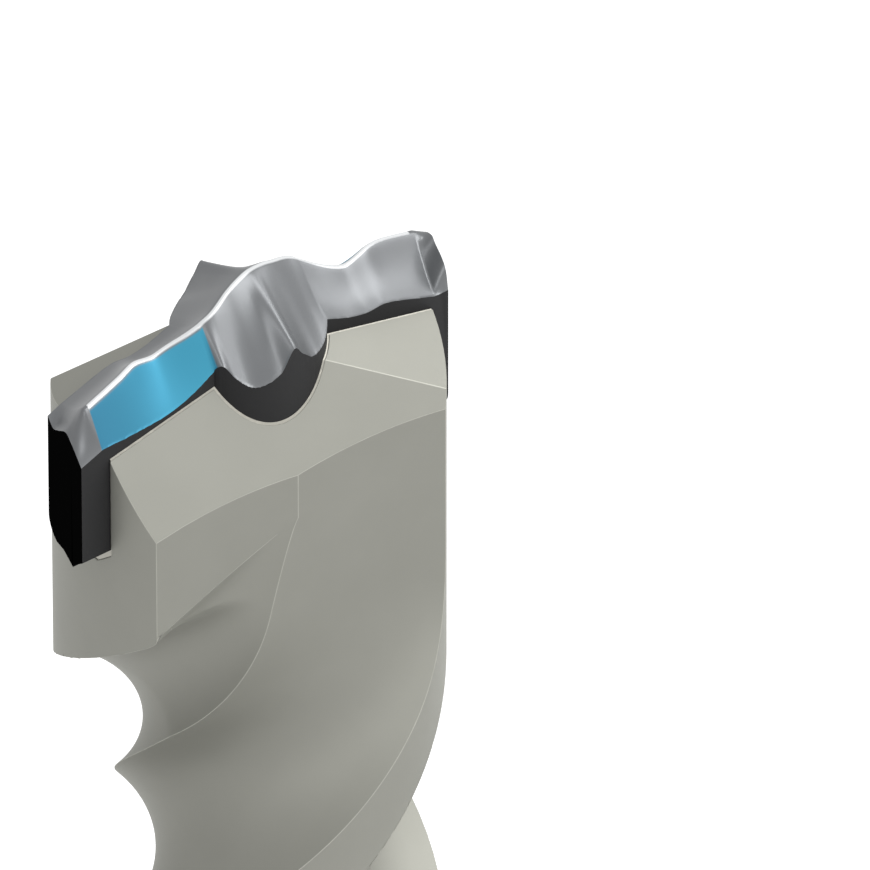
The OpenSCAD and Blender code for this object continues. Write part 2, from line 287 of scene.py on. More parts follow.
@dataclass(frozen=True)
class HeadPlace:
    """Level and place of the head in the part's frame."""

    overall_len: float = 320.0
    tip_rise: float = 8.8

    @property
    def datum(self) -> float:
        """Level that the head's heights and depths count from."""
        return self.overall_len - self.tip_rise


def add_node(tree: NodeTree, kind: str, inputs: dict | None = None, **settings: object) -> Node:
    """Adds a node, sets it, and fills its sockets.

    Args:
        tree: the material's or the world's nodes.
        kind: the node's type.
        inputs: for a socket's name or number, a value or the socket it is linked from.
        **settings: the node's own properties.

    Returns:
        The node.
    """
    node = tree.nodes.new(kind)
    for name, value in settings.items():
        setattr(node, name, value)
    for key, value in (inputs or {}).items():
        if isinstance(value, NodeSocket):
            tree.links.new(value, node.inputs[key])
        else:
            node.inputs[key].default_value = value
    return node


def new_material(name: str) -> tuple[Material, NodeTree]:
    """An empty node material and its tree."""
    material = bpy.data.materials.new(name)
    material.use_nodes = True
    material.node_tree.nodes.clear()
    return material, material.node_tree


def grain(tree: NodeTree, size: float) -> NodeSocket:
    """Noise on the piece's own coordinates, whose grains are size millimetres across."""
    place = add_node(tree, "ShaderNodeTexCoord")
    noise = add_node(
        tree,
        "ShaderNodeTexNoise",
        {"Vector": place.outputs["Object"], "Scale": 1.0 / (size * MM), "Detail": 3.0},
    )
    return noise.outputs["Fac"]


def ranged(tree: NodeTree, value: NodeSocket, span: Span) -> NodeSocket:
    """The value taken from the span of the first two numbers to that of the last two."""
    names = ("From Min", "From Max", "To Min", "To Max")
    node = add_node(tree, "ShaderNodeMapRange", {"Value": value, **dict(zip(names, span))})
    return node.outputs["Result"]


def mixed(tree: NodeTree, share: NodeSocket, first: object, second: object) -> NodeSocket:
    """A colour that goes from the first to the second with share."""
    node = add_node(tree, "ShaderNodeMix", {0: share, 6: first, 7: second}, data_type="RGBA")
    return node.outputs[2]


def reckoned(tree: NodeTree, operation: str, first: NodeSocket, second: NodeSocket) -> NodeSocket:
    """The result of a math operation on two values."""
    return add_node(tree, "ShaderNodeMath", {0: first, 1: second}, operation=operation).outputs[0]


def attribute(tree: NodeTree, name: str) -> NodeSocket:
    """A number that the mesh carries at each vertex."""
    return add_node(tree, "ShaderNodeAttribute", attribute_name=name).outputs["Fac"]


def relief(tree: NodeTree, height: NodeSocket, strength: float, depth: float) -> NodeSocket:
    """The normal over a fine relief that is depth millimetres deep."""
    inputs = {"Height": height, "Strength": strength, "Distance": depth * MM}
    return add_node(tree, "ShaderNodeBump", inputs).outputs["Normal"]


def surfaced(tree: NodeTree, inputs: dict) -> None:
    """Ends a material in one principled surface with these inputs."""
    shader = add_node(tree, "ShaderNodeBsdfPrincipled", inputs)
    add_node(tree, "ShaderNodeOutputMaterial", {"Surface": shader.outputs[0]})


@dataclass(frozen=True)
class BlastedSteel:
    """Alloy tool steel, milled, hardened and shot-blasted: an even, matte, warm grey."""

    colour: str = "#8d8d86"
    shade: str = "#8b8b84"
    roughness: float = 0.6
    metallic: float = 0.9
    # The shot leaves dimples of 0.1 to 0.2 mm, and some microns deep
    dimple_mm: float = 0.16
    dimple_depth: float = 0.008
    # The colour drifts over a few millimetres where the shot hit more or less
    drift_mm: float = 4.0

    def material(self) -> Material:
        """The finish as a material."""
        material, tree = new_material("blasted_steel")
        drift = ranged(tree, grain(tree, self.drift_mm), DRIFT)
        colour = mixed(tree, drift, linear(self.colour), linear(self.shade))
        dimples = relief(tree, grain(tree, self.dimple_mm), 0.25, self.dimple_depth)
        shine = {"Metallic": self.metallic, "Roughness": self.roughness}
        surfaced(tree, {"Base Color": colour, **shine, "Normal": dimples})
        return material


@dataclass(frozen=True)
class PaintedEdgeHighlight:
    """The same steel on the narrow flats where the edges are broken, painted lighter: a painted highlight
    line along each edge.
    """

    # Painted highlight: the edge flats are a lighter colour than the steel, so they show as bright lines
    colour: str = "#a6a69e"
    metallic: float = 0.9
    roughness: float = 0.65
    # The painted highlight fades in patches a millimetre or two long, back towards the blasted steel's colour
    highlight_patch_mm: float = 1.5
    highlight_patches: Span = (0.3, 0.7, 0.0, 0.35)

    def material(self) -> Material:
        """The finish as a material."""
        material, tree = new_material("painted_edge_highlight")
        highlight_patches = ranged(tree, grain(tree, self.highlight_patch_mm), self.highlight_patches)
        # Painted highlight: the lighter colour, broken in patches back to the steel's own colour
        colour = mixed(tree, highlight_patches, linear(self.colour), linear(BlastedSteel.colour))
        surfaced(tree, {"Base Color": colour, "Metallic": self.metallic, "Roughness": self.roughness})
        return material


@dataclass(frozen=True)
class GroundCarbide:
    """Tungsten carbide, sintered and then ground on its flanks: dark silver with a gloss."""

    colour: str = "#707274"
    shade: str = "#6d6f71"
    # The blue coat of the leading flanks at the wing's outer end, and a lighter copy at the hub end: painted
    # light along the flank
    tint: str = "#2c6f8a"
    tint_painted_lit: str = "#3a8faa"
    # Painted highlight: a pale band along the ridge's land, which fades into the flanks
    ridge_highlight: str = "#dcdedf"
    ridge_highlight_half: float = 0.09
    ridge_highlight_fade: float = 0.09
    # A cermet of carbide grains in cobalt is less of a mirror than a pure metal
    metallic: float = 0.55
    roughness: float = 0.36
    tint_roughness: float = 0.55
    # The grey drifts over a few millimetres, as the wheel took more or less
    drift_mm: float = 2.5
    # The wheel leaves lines about 0.1 mm apart and a few microns deep along the flanks
    line_mm: float = 0.1
    line_depth: float = 0.004
    line_stretch: float = 0.06
    # The blue of the leading flanks starts and ends along the wing at these reaches
    tint_from: float = 3.57
    tint_to: float = 10.96
    tint_blur: float = 0.03
    # It starts this far in front of the ridge, from nothing to the whole
    tint_lead: tuple[float, float] = (0.16, 0.26)

    def material(self) -> Material:
        """The finish as a material."""
        material, tree = new_material("ground_carbide")
        drift = ranged(tree, grain(tree, self.drift_mm), DRIFT)
        metal = mixed(tree, drift, linear(self.colour), linear(self.shade))
        reach, lead, beside = (attribute(tree, name) for name in ("reach", "lead", "beside"))
        start, stop, blur = self.tint_from, self.tint_to, self.tint_blur
        inner = ranged(tree, reach, (start - blur, start + blur, 0.0, 1.0))
        outer = ranged(tree, reach, (stop - blur, stop + blur, 1.0, 0.0))
        front = ranged(tree, lead, (*self.tint_lead, 0.0, 1.0))
        where = reckoned(tree, "MULTIPLY", reckoned(tree, "MULTIPLY", inner, outer), front)
        # Painted light: the blue lightens from its own colour at the outer end to the lighter copy at the hub
        # end
        along = ranged(tree, reach, (start, stop, 1.0, 0.0))
        blue = mixed(tree, along, linear(self.tint), linear(self.tint_painted_lit))
        tinted = mixed(tree, where, metal, blue)
        # Painted highlight: a pale band close beside the ridge, fading into the flanks and ending where the
        # blue ends along the wing
        land = ranged(tree, beside, (self.ridge_highlight_half, self.ridge_highlight_half + self.ridge_highlight_fade, 1.0, 0.0))
        colour = mixed(tree, reckoned(tree, "MULTIPLY", land, outer), tinted, linear(self.ridge_highlight))
        place = add_node(tree, "ShaderNodeTexCoord")
        lines = add_node(
            tree,
            "ShaderNodeMapping",
            {"Vector": place.outputs["Object"], "Scale": (self.line_stretch, 1.0, 1.0)},
        )
        scratch = add_node(
            tree,
            "ShaderNodeTexNoise",
            {"Vector": lines.outputs[0], "Scale": 1.0 / (self.line_mm * MM), "Detail": 2.0},
        )
        rough = ranged(tree, where, (0.0, 1.0, self.roughness, self.tint_roughness))
        bump = relief(tree, scratch.outputs["Fac"], 0.12, self.line_depth)
        surfaced(tree, {"Base Color": colour, "Metallic": self.metallic, "Roughness": rough, "Normal": bump})
        return material


@dataclass(frozen=True)
class SinteredCarbide:
    """Tungsten carbide as it leaves the sintering furnace: black, fine and nearly matte."""

    colour: str = "#1c1c1d"
    sheen: float = 0.2
    roughness: float = 0.55
    # The pressed powder leaves a skin with grains of about 0.1 mm, some microns high
    grain_mm: float = 0.12
    grain_depth: float = 0.006

    def material(self) -> Material:
        """The finish as a material."""
        material, tree = new_material("sintered_carbide")
        bump = relief(tree, grain(tree, self.grain_mm), 0.2, self.grain_depth)
        shine = {"Specular IOR Level": self.sheen, "Roughness": self.roughness}
        surfaced(tree, {"Base Color": linear(self.colour), **shine, "Normal": bump})
        return material


@dataclass(frozen=True)
class SilverBraze:
    """Silver braze as it flowed and set: pale, slightly warm, with a soft shine."""

    colour: str = "#a3a198"
    shade: str = "#918f87"
    roughness: float = 0.35
    # The set metal ripples over about half a millimetre, by hundredths of one
    ripple_mm: float = 0.5
    ripple_depth: float = 0.03

    def material(self) -> Material:
        """The finish as a material."""
        material, tree = new_material("silver_braze")
        ripple = grain(tree, self.ripple_mm)
        colour = mixed(tree, ripple, linear(self.colour), linear(self.shade))
        bump = relief(tree, ripple, 0.4, self.ripple_depth)
        surfaced(tree, {"Base Color": colour, "Metallic": 1.0, "Roughness": self.roughness, "Normal": bump})
        return material


@dataclass
class CarbideHead:
    """The one-piece carbide head: two wings and a round hub under one ground crown."""

    place: HeadPlace = field(default_factory=HeadPlace)
    cutting_d: float = 25.0
    plate_t: float = 4.4
    plate_depth: float = 6.35
    end_relief: float = 0.72
    hub_d: float = 8.56
    chamfer: float = 1.4
    # Rounding under the trailing side, and how far round it goes before the arch
    radius: float = 1.3
    corner_turn: float = -78.5
    # Rise of the arch under the wings, and its crown and its foot in halves of the thickness
    arch: float = 0.22
    arch_crown: float = 0.12
    arch_foot: float = 0.43
    sag: float = 0.3
    sag_from: float = 1.5
    sag_over: float = 2.5
    # Half the width of the land honed along the ridge, and the rounding beside it
    land: float = 0.04
    ridge_round: float = 0.15
    # Width of the crown's grid, how far it goes past the solid, and how evenly its lines lie
    step: float = 0.075
    spare: float = 0.4
    evenness: float = 0.45
    # A face that looks up by less than this is a side, and one along X by more is an end
    side_up: float = 0.12
    end_along: float = 0.9
    crisp_angle: float = 26.0
    ridge_rise: Knots = (
        (0, 8.8), (0.6, 8.74), (1.3, 8.55), (2.1, 8.17), (3.4, 7.5), (4.7, 6.62), (5.9, 6),
        (6.4, 5.9), (8, 6.24), (11.25, 5.2),
    )
    ridge_sway: Knots = (
        (0, 0), (1.6, 0.36), (3.2, 0.74), (5.6, 0.1), (7.2, 0.12), (8.8, 0.55), (11.25, 0.82),
    )
    cut_edge: Knots = ((3.4, 5.05), (5.1, 3.9), (6.7, 3.25), (9.4, 2.95), (11, 2.88), (12.3, 2.3))
    trail_edge: Knots = (
        (3.4, 4.95), (5.2, 4.15), (6.3, 3.92), (7.5, 3.96), (9.1, 3.4), (11.6, 2.35),
    )
    near_end: Knots = ((-2.2, 2.25), (-0.9, 2.95), (-0.2, 3.15), (0.9, 2.35), (1.5, 1.98), (2.2, 2.3))
    far_end: Knots = (
        (-2.2, 2.9), (-0.9, 4.4), (0.08, 5), (0.47, 4.8), (1.48, 4.38), (1.95, 3.8), (2.2, 2.6),
    )
    bevel_from: Knots = ((-2.2, 10.9), (-0.82, 11.25), (2.2, 10.7))
    hub_rim: Knots = (
        (31, 5.05), (38, 5.4), (47.5, 4.64), (58.8, 4.03), (70, 4.13), (81.9, 4.78), (92.4, 6.15),
        (99.7, 5.5), (110.4, 4.66), (120, 4.48), (130, 4.45), (140, 4.62), (149, 4.8),
    )

    @property
    def half_t(self) -> float:
        """Half the thickness of the wings."""
        return self.plate_t / 2

    @property
    def cut_x(self) -> float:
        """Reach of the wings' cutting corners along X."""
        return math.sqrt((self.cutting_d / 2) ** 2 - self.half_t**2)

    def half_width(self, u: np.ndarray) -> np.ndarray:
        """Half the crown's width at reach u: the hub's circle, then the wing's side."""
        return np.maximum(self.half_t, np.sqrt(np.maximum((self.hub_d / 2) ** 2 - u**2, 0.0)))

    def sides(self, u: np.ndarray) -> tuple[np.ndarray, np.ndarray]:
        """Heights of the crown's edge on the cutting side and on the trailing side.

        On the hub they follow its rim by the angle acos(u / r) from the wing,
        and beyond it they are the wing's own edges.

        Args:
            u: reach along the wing.

        Returns:
            Both heights above the datum.
        """
        on_hub = self.half_width(u) > self.half_t
        rim = np.degrees(np.arccos(np.minimum(u / (self.hub_d / 2), 1.0)))
        cut = np.where(on_hub, curve(rim, self.hub_rim), curve(u, self.cut_edge))
        return cut, np.where(on_hub, curve(180 - rim, self.hub_rim), curve(u, self.trail_edge))

    def flanks(self, u: np.ndarray, v: np.ndarray) -> np.ndarray:
        """Height of the two flanks, with a narrow rounded land between them.

        Each flank falls in a straight line from the land to its edge, and the
        trailing one sags below that by part of a sine. The land's edges are
        rounded by putting sqrt(d^2 + r^2) for the distance d to it.

        Args:
            u: reach along the wing.
            v: place across it, negative on the cutting side.

        Returns:
            Heights above the datum.
        """
        half = self.half_width(u)
        y = np.clip(v, -half, half)
        ridge, top = -curve(u, self.ridge_sway), curve(u, self.ridge_rise)
        cut, trail = self.sides(u)
        sag = self.sag * ease((u - self.sag_from) / self.sag_over)
        lead_fall = (top - cut) / (ridge + half - self.land)
        trail_len = half - ridge - self.land
        trail_fall = (top - trail) / trail_len
        off = np.maximum(np.abs(y - ridge) - self.land, 0.0)
        bow = sag * np.sin(np.pi * np.clip(off / trail_len, 0.0, 1.0))
        fall = np.where(y < ridge, lead_fall * off, trail_fall * off + bow)
        steep = (lead_fall + trail_fall + sag * np.pi / trail_len) / 2
        return top - fall - steep * (np.sqrt(off**2 + self.ridge_round**2) - off)

    def wing_top(self, u: np.ndarray, v: np.ndarray, near: np.ndarray) -> np.ndarray:
        """Height of a wing with its end bevel, a straight fall from the end of
        the ridge to the top of the end face.

        Args:
            u: reach along the wing.
            v: place across it, negative on the cutting side.
            near: where it is the wing along -X.

        Returns:
            Heights above the datum.
        """
        y = np.clip(v, -self.half_t, self.half_t)
        start = curve(y, self.bevel_from)
        stop = self.cut_x - self.end_relief * (y + self.half_t) / self.plate_t
        t = (u - start) / (stop - start)
        end = np.where(near, curve(y, self.near_end), curve(y, self.far_end))
        bevel = (1 - t) * self.flanks(start, v) + t * end
        return np.where(u <= start, self.flanks(u, v), bevel)

    def crown(self, x: np.ndarray, y: np.ndarray) -> np.ndarray:
        """Height of the whole crown above the datum."""
        return self.wing_top(np.abs(x), np.where(x < 0, y, -y), x < 0)

    def section(self, gap: float, chamfer: float) -> np.ndarray:
        """Corners of a wing's cross-section from y and z, counter-clockwise seen from -X.

        The cutting side at -Y has a chamfer below, and the trailing side a
        quarter circle. A shallow arch runs along the middle of the underside.

        Args:
            gap: how far the section is grown.
            chamfer: width of the chamfer.

        Returns:
            Rows of y and z, z from the datum.
        """
        side, low, high = self.half_t + gap, -self.plate_depth - gap, self.place.tip_rise + 2
        turn = np.linspace(0, self.corner_turn, 13)
        corner = polar(np.full_like(turn, self.radius), turn)
        corner += [side - self.radius, low + self.radius]
        arch = [[self.half_t * self.arch_crown, low + self.arch], [-self.half_t * self.arch_foot, low]]
        rest = [[-side + chamfer, low], [-side, low + chamfer], [-side, high]]
        return np.concatenate([[[side, high]], corner, arch, rest])

    def blank(
        self, name: str, gap: float = 0.0, hub_gap: float = 0.0, fillet: float = 0.0, reach: float = 0.0
    ) -> Object:
        """Both wings and the hub without their crown.

        Args:
            name: the object's name.
            gap: how far the wings are grown.
            hub_gap: how far the hub is grown.
            fillet: how much less the chamfer takes away.
            reach: how much longer the wings are, and if not 0, their ends are square.

        Returns:
            A closed solid: each wing is its section carried along X to a
            slanting end, and the hub a cylinder.
        """
        datum = self.place.datum
        turn = np.arange(0, 360, 2.5)
        rim = polar(np.full(len(turn), self.hub_d / 2 + hub_gap), turn)
        rim = np.column_stack([rim, np.zeros(len(turn))])
        low, high = datum - self.plate_depth - gap, datum + self.place.tip_rise + 3
        solid = bridged(name, rim + [0, 0, low], rim + [0, 0, high])
        shape = self.section(gap, self.chamfer - fillet)
        y, z = shape[:, 0], datum + shape[:, 1]
        slant = 0.0 if reach else self.end_relief / self.plate_t
        end = self.cut_x + reach - slant * (y + self.half_t)
        for side in (-1, 1):
            inner = np.stack([np.zeros_like(y), -side * y, z], axis=1)
            outer = np.stack([side * end, -side * y, z], axis=1)
            wing = bridged(name + "_wing", inner, outer)
            turned_out(wing)
            carve(solid, wing, Joining.ADD)
        return solid

    def under_crown(self) -> Object:
        """A closed block whose top is the crown, as a height over a grid.

        The grid's middle line follows the ridge. Its lines lie at the shares
        et + (1 - e)t^3 of the way from there to each side, where e is their
        evenness, so that they are closest along the ridge.
        """
        half_x, half_y = self.cut_x + self.spare, self.hub_d / 2 + self.spare
        xs = np.linspace(-half_x, half_x, 2 * round(half_x / self.step) + 1)
        t = np.linspace(-1, 1, 2 * round(half_y / self.step) + 1)
        shares = self.evenness * t + (1 - self.evenness) * t**3
        x, share = np.meshgrid(xs, shares, indexing="ij")
        ridge = np.sign(x) * curve(np.abs(x), self.ridge_sway)
        y = ridge + (half_y + np.where(share < 0, ridge, -ridge)) * share
        top = np.stack([x, y, self.place.datum + self.crown(x, y)], axis=-1).reshape(-1, 3)
        nx, ny = x.shape
        low = top.copy()
        low[:, 2] = self.place.datum - self.plate_depth - 1
        rim = np.concatenate(
            [np.arange(nx) * ny, (nx - 1) * ny + np.arange(1, ny),
             np.arange(nx - 2, -1, -1) * ny + ny - 1, np.arange(ny - 2, 0, -1)]
        )
        base = low[rim]
        i, j = np.meshgrid(np.arange(nx - 1), np.arange(ny - 1), indexing="ij")
        a = (i * ny + j).ravel()
        quads = np.stack([a, a + ny, a + ny + 1, a + 1], axis=1)
        n, m = len(top), len(rim)
        k = np.arange(m)
        wall = np.stack([n + k, n + (k + 1) % m, rim[(k + 1) % m], rim[k]], axis=1)
        faces = quads.tolist() + wall.tolist() + [(n + k[::-1]).tolist()]
        return make_piece("crown_block", np.concatenate([top, base]), faces)

    def build(self, ground: Material, sides: Material, ends: Material) -> Object:
        """The finished head, ground where the wheel reached and black elsewhere.

        Args:
            ground: finish of the crown.
            sides: finish of the sides and the underside.
            ends: finish of the two end faces, a darker copy of the sides' finish that paints them in shade.

        Returns:
            The piece, which stands for the CAD's carbide_plate.
        """
        piece = self.blank("carbide_head")
        carve(piece, self.under_crown(), Joining.KEEP)
        mesh = piece.data
        mesh.materials.clear()
        for material in (ground, sides, ends):
            mesh.materials.append(material)
        normals = np.zeros(len(mesh.polygons) * 3)
        mesh.polygons.foreach_get("normal", normals)
        along, _, up = normals.reshape(-1, 3).T
        # End faces take the third material, which paints them in shade
        is_end = (np.abs(along) > self.end_along) & (np.abs(up) < self.side_up)
        number = np.where(up < self.side_up, np.where(is_end, 2, 1), 0)
        mesh.polygons.foreach_set("material_index", number.astype(np.int32))
        x, y, _ = corners(mesh).T
        reach, across = np.abs(x), np.where(x < 0, y, -y)
        lead = -curve(reach, self.ridge_sway) - across
        # The distance beside the ridge places the painted highlight along it
        beside = np.abs(y - np.sign(x) * curve(reach, self.ridge_sway))
        for name, values in (("reach", reach), ("lead", lead), ("beside", beside)):
            mesh.attributes.new(name, "FLOAT", "POINT").data.foreach_set("value", values)
        in_metres(piece)
        smooth_below(mesh, self.crisp_angle)
        # The grinding leaves no sharp edge inside the crown
        with editing(mesh) as shape:
            for edge in shape.edges:
                edge.smooth = edge.smooth or all(face.material_index == 0 for face in edge.link_faces)
        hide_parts("carbide_plate")
        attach(piece, "root")
        return piece


@dataclass
class SteelBody:
    """The bar: a head under a four-sided roof, two flutes, a neck and a slotted shank."""

    place: HeadPlace = field(default_factory=HeadPlace)
    body_d: float = 21.5
    crease_r: float = 5.95
    crease_turn: float = -6.9
    front_turn: float = -5.0
    rear_turn: float = -5.85
    face_hollow: float = 0.165
    steep: tuple[float, float, float] = (8.44, 0.264, 1.664)
    gentle: tuple[float, float, float] = (5.98, -0.262, 0.554)
    flute_top: float = 4.8
    helix_top: float = 10.4
    helix_ease: float = 0.5
    lead: float = 56.0
    land_angle: float = 33.0
    front_hollow: float = 1.85
    heel_hollow: float = 0.75
    rib_angle: float = 32.0
    heel_part: float = 1.95
    heel_part_len: float = 7.4
    heel_part_bend: float = 0.8
    front_fade: float = 10.4
    heel_fade_from: float = 17.0
    heel_fade: float = 8.0
    heel_turn: float = 4.4
    runout_len: float = 20.0
    shank_d: float = 18.0
    shank_len: float = 120.0
    neck_cone: float = 5.0
    neck_len: float = 10.0
    neck_proud: float = 0.05
    guide_len: float = 56.0
    slotted_relief: float = 0.2
    shank_chamfer: float = 1.2
    drive_w: float = 4.8
    drive_depth: float = 2.5
    drive_len: float = 62.0
    drive_runout: float = 14.0
    drive_at: tuple[float, float, float] = (90, 222, 318)
    lock_w: float = 7.0
    lock_len: float = 37.0
    lock_depth: float = 2.6
    lock_from: float = 16.0
    # Columns of the skin on a land, on the face beside it, and on the two hollows
    columns: tuple[int, int, int, int] = (22, 10, 30, 30)
    edge_strip: float = 0.12
    # How far apart its rings are down to a depth: by the head, below it, then to the
    # run-out of the flutes, which has a length of its own
    ring_steps: tuple[float, float, float, float] = (0.25, 0.75, 1.0, 0.5)
    ring_depths: tuple[float, float] = (30.0, 60.0)
    fine_end: float = 14.0
    # Room for the braze round the wings and the hub, and in the slot's corner
    slot_gap: float = 0.08
    hub_gap: float = 0.1
    slot_fillet: float = 0.3
    crisp_angle: float = 9.0

    @property
    def body_r(self) -> float:
        """Radius across the lands."""
        return self.body_d / 2

    @property
    def neck_top(self) -> float:
        """Level where the flutes have run out."""
        return self.shank_len + self.neck_cone + self.neck_len

    @property
    def flute_end(self) -> float:
        """Depth below the datum where the flutes have run out."""
        return self.place.datum - self.neck_top

    def arc_r(self, a: np.ndarray, p: np.ndarray, q: np.ndarray, sag: np.ndarray) -> np.ndarray:
        """Radius of the arc through p and q at direction a.

        The circle has the chord from p to q and the given sag towards the
        axis. Its radius is (half^2 + sag^2) / (2 sag), and the nearer of the
        two points where the ray at a meets it is taken.

        Args:
            a: directions in degrees, one row for each depth.
            p: first ends, one for each depth.
            q: second ends, one for each depth.
            sag: depths of the arcs below their chords.

        Returns:
            Radii, in the shape of a.
        """
        s = np.maximum(sag, 0.004)
        chord = q - p
        length = np.maximum(np.linalg.norm(chord, axis=-1), 1e-4)
        rad = (length**2 / 4 + s**2) / (2 * s)
        out = np.stack([chord[:, 1], -chord[:, 0]], axis=-1) / length[:, None]
        centre = (p + q) / 2 + out * (rad - s)[:, None]
        d = np.einsum("ijk,ik->ij", polar(np.ones_like(a), a), centre)
        rest = np.sum(centre**2, axis=-1) - rad**2
        return d - np.sqrt(np.maximum(d**2 - rest[:, None], 0.0))

    def rings(self, d: np.ndarray) -> np.ndarray:
        """Rings of the skin at the depths d below the datum.

        Round from a heel come a land at the body's radius, the milled face in
        front of the crease, the front hollow and the heel hollow, and the same
        again after half a turn. The land's edge and its heel turn by 360
        degrees in one lead.

        Args:
            d: depths.

        Returns:
            Points, for each depth and column.
        """
        turns = (self.crease_turn, self.front_turn, self.rear_turn)
        crease_dir, front_dir, rear_dir = (270 + turn for turn in turns)
        front_half = self.crease_r * math.cos(math.radians(front_dir - crease_dir))
        rear_half = self.crease_r * math.cos(math.radians(rear_dir - crease_dir))
        front_angle = math.degrees(math.acos(front_half / self.body_r))
        rear_angle = math.degrees(math.acos(rear_half / self.body_r))
        ones = np.ones_like(d)
        crease = polar(self.crease_r * ones, crease_dir * ones)
        front_corner = polar(self.body_r * ones, (front_dir - front_angle) * ones)
        rear_corner = polar(self.body_r * ones, (rear_dir + rear_angle) * ones)
        edge = front_dir - front_angle - bend(d - self.helix_top, self.helix_ease) * 360 / self.lead
        land = 180 - front_angle - rear_angle + front_dir - rear_dir
        heel_from = self.helix_top + (land - self.land_angle) / 360 * self.lead
        heel = rear_dir + rear_angle - bend(d - heel_from, self.heel_turn) * 360 / self.lead

        # Where the front hollow starts: on the front face, then on the land's edge
        edge_top = self.helix_top - self.helix_ease
        straight = d < edge_top
        sunk = np.maximum(d - self.flute_top, 0)
        reach = self.body_r * math.sin(math.radians(front_angle)) - self.crease_r * math.sin(
            math.radians(front_dir - crease_dir)
        )
        on_face = crease + polar(sunk * reach / (edge_top - self.flute_top), (front_dir - 90) * ones)
        p_dir = np.degrees(np.arctan2(on_face[:, 1], on_face[:, 0])) % 360
        p_dir = np.where(straight, np.maximum(p_dir, edge + self.edge_strip), edge + self.edge_strip)
        hollow = self.face_hollow * ones
        p_r = self.arc_r(p_dir[:, None], front_corner, crease, hollow)[:, 0]
        p_r = np.where(straight, np.minimum(p_r, self.body_r), self.body_r)

        # Where it ends: on the rib between the two hollows
        open_y = rear_half * math.tan(math.radians(crease_dir - rear_dir)) - self.heel_part * (
            sunk / self.heel_part_len
        ) ** self.heel_part_bend
        q_turn = np.maximum(np.degrees(np.arctan(open_y / rear_half)), -self.rib_angle)
        q_r = self.arc_r(rear_dir + q_turn[:, None], crease, rear_corner, hollow)[:, 0]
        q_dir = np.maximum(heel - rear_angle + q_turn, p_dir)

        n_land, n_face, n_front, n_heel = self.columns
        spans = (
            (heel - 180, edge, n_land), (edge, p_dir, n_face), (p_dir, q_dir, n_front), (q_dir, heel, n_heel)
        )
        land_a, face_a, front_a, heel_a = (
            lo[:, None] + (hi - lo)[:, None] * np.arange(n) / n for lo, hi, n in spans
        )
        p, q, h = polar(p_r, p_dir), polar(q_r, q_dir), polar(self.body_r * ones, heel)
        face_r = np.where(straight[:, None], self.arc_r(face_a, front_corner, crease, hollow), self.body_r)
        front_r = self.arc_r(front_a, p, q, self.front_hollow * ease(sunk / self.front_fade))
        front_r = np.where((d <= self.flute_top)[:, None], self.crease_r, front_r)
        share = np.linalg.norm(h - q, axis=-1) / np.linalg.norm(rear_corner - crease, axis=-1)
        sag = hollow * share**2 + self.heel_hollow * ease((d - self.heel_fade_from) / self.heel_fade)
        heel_r = self.arc_r(heel_a, q, h, sag)
        r = np.concatenate([np.full_like(land_a, self.body_r), face_r, front_r, heel_r], axis=1)
        r = np.minimum(r, self.body_r)
        shut = ease((d - (self.flute_end - self.runout_len)) / self.runout_len)[:, None]
        r = r + (self.body_r - r) * shut
        a = np.concatenate([land_a, face_a, front_a, heel_a], axis=1)
        a, r = np.concatenate([a, a + 180], axis=1), np.concatenate([r, r], axis=1)
        xy = polar(r, a)
        z = np.broadcast_to((self.place.datum - d)[:, None, None], (*r.shape, 1))
        return np.concatenate([xy, z], axis=-1)

    def skin(self) -> Object:
        """The whole bar as one closed skin of rings, from over the tip to the shank's end."""
        stops = (self.flute_top, *self.ring_depths, self.flute_end - self.fine_end, self.flute_end)
        depths = [np.arange(*span) for span in zip(stops, stops[1:], self.ring_steps)]
        fluted = self.rings(np.concatenate([*depths, stops[-1:]]))
        over = fluted[:1] + [0, 0, self.flute_top + self.place.tip_rise + 2]
        neck_r, guide_r = self.body_r + self.neck_proud, self.shank_d / 2
        slotted_r = guide_r - self.slotted_relief
        guide = np.linspace(self.shank_len, self.shank_len - self.guide_len, 12)
        slotted = np.linspace(self.shank_len - self.guide_len, self.shank_chamfer, 30)
        profile = [(self.neck_top, neck_r), (self.shank_len + self.neck_cone, neck_r)]
        profile += [(z, guide_r) for z in guide] + [(z, slotted_r) for z in slotted]
        profile += [(0.0, slotted_r - self.shank_chamfer)]
        z, r = np.array(profile).T
        unit = fluted[-1, :, :2] / self.body_r
        heights = np.broadcast_to(z[:, None, None], (len(z), len(unit), 1))
        turned = np.concatenate([unit[None] * r[:, None, None], heights], axis=-1)
        rings = np.concatenate([over, fluted, turned])
        n, m = rings.shape[:2]
        j, i = np.meshgrid(np.arange(n - 1), np.arange(m), indexing="ij")
        k = (i + 1) % m
        quads = np.stack([j * m + i, (j + 1) * m + i, (j + 1) * m + k, j * m + k], axis=-1)
        caps = [np.arange(m).tolist(), ((n - 1) * m + np.arange(m)[::-1]).tolist()]
        piece = make_piece("steel_bar", rings.reshape(-1, 3), quads.reshape(-1, 4).tolist() + caps)
        with editing(piece.data) as shape:
            bmesh.ops.remove_doubles(shape, verts=shape.verts, dist=0.001)
            self.mill_roof(shape)
            bmesh.ops.recalc_face_normals(shape, faces=shape.faces)
        return piece

    def mill_roof(self, shape: BMesh) -> None:
        """Cuts the bar under four planes, z = rise + along x + across y and the
        same after half a turn, and closes each cut with one face."""
        for sign in (1, -1):
            for rise, along, across in (self.steep, self.gentle):
                cut = bmesh.ops.bisect_plane(
                    shape,
                    geom=shape.verts[:] + shape.edges[:] + shape.faces[:],
                    dist=1e-5,
                    plane_co=(0, 0, self.place.datum + rise),
                    plane_no=Vector((-sign * along, -sign * across, 1)).normalized(),
                    clear_outer=True,
                )
                edges = [g for g in cut["geom_cut"] if isinstance(g, BMEdge)]
                bmesh.ops.holes_fill(shape, edges=edges, sides=0)

